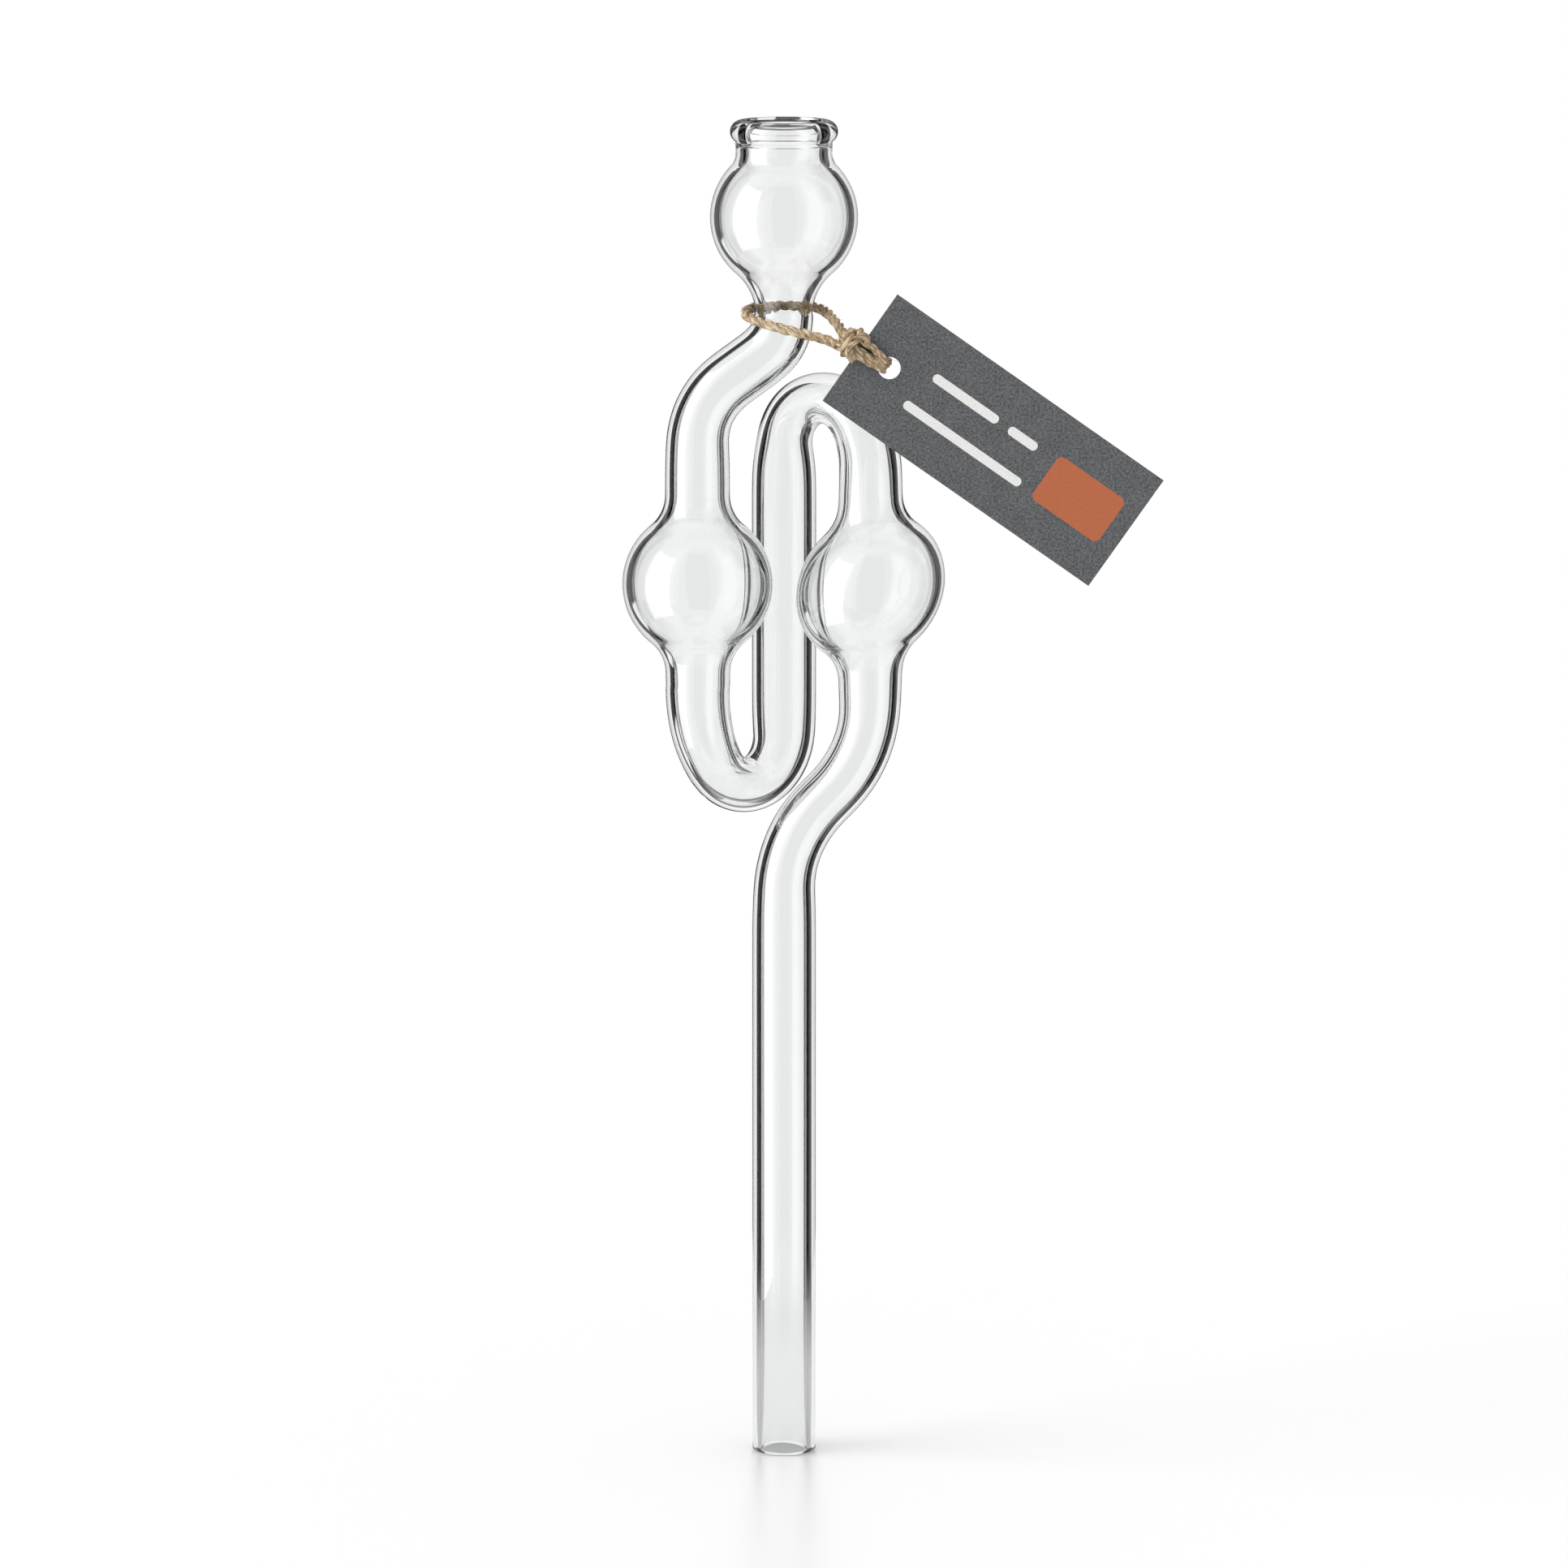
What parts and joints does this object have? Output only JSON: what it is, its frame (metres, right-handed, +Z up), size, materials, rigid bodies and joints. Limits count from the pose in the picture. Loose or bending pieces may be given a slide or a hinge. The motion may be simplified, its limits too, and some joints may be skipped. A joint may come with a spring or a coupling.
{
  "type": "glass fermentation airlock",
  "caption": "Blown glass fermentation airlock: beaded mouth, top bulb, S-shaped legs with side bulbs and a long straight stem, with a blank swing tag on a twine loop.",
  "frame": {"origin": "centre of the stem's lower end, where the stem enters the stopper", "axes": "+Z up the stem to the mouth, +X towards the leg with the stem's offset, -Y towards the tag, in front of the bulbs"},
  "size_m": [0.0745, 0.0271, 0.188],
  "materials": {
    "glass": "clear drawn glass, fire polished",
    "twine": "natural jute, twisted from fine fibres",
    "card": "matt dark grey card with a white print"
  },
  "bodies": {
    "airlock": {"rim_bead": "glass", "top_bulb": "glass", "upper_offset": "glass", "left_leg_upper": "glass", "left_bulb": "glass", "left_leg_lower": "glass", "lower_return_bend": "glass", "middle_leg": "glass", "upper_return_bend": "glass", "right_leg_upper": "glass", "right_bulb": "glass", "right_leg_lower": "glass", "lower_offset": "glass", "stem": "glass"},
    "cord": {"twine_loop": "twine", "twine_knot": "twine"},
    "tag": {"tag_lashing": "twine", "swing_tag": "card"}
  },
  "joints": [
    {"name": "loop_swivel", "type": "hinge", "parent": "airlock", "child": "cord", "pos_m": [0, 0, 0.161], "axis": [0, 0, 1], "range_deg": [-30, 0]},
    {"name": "tag_swing", "type": "hinge", "parent": "cord", "child": "tag", "pos_m": [0.00903, -0.0113, 0.15876], "axis": [0, 1, 0], "range_deg": [-35, 55]}
  ]
}
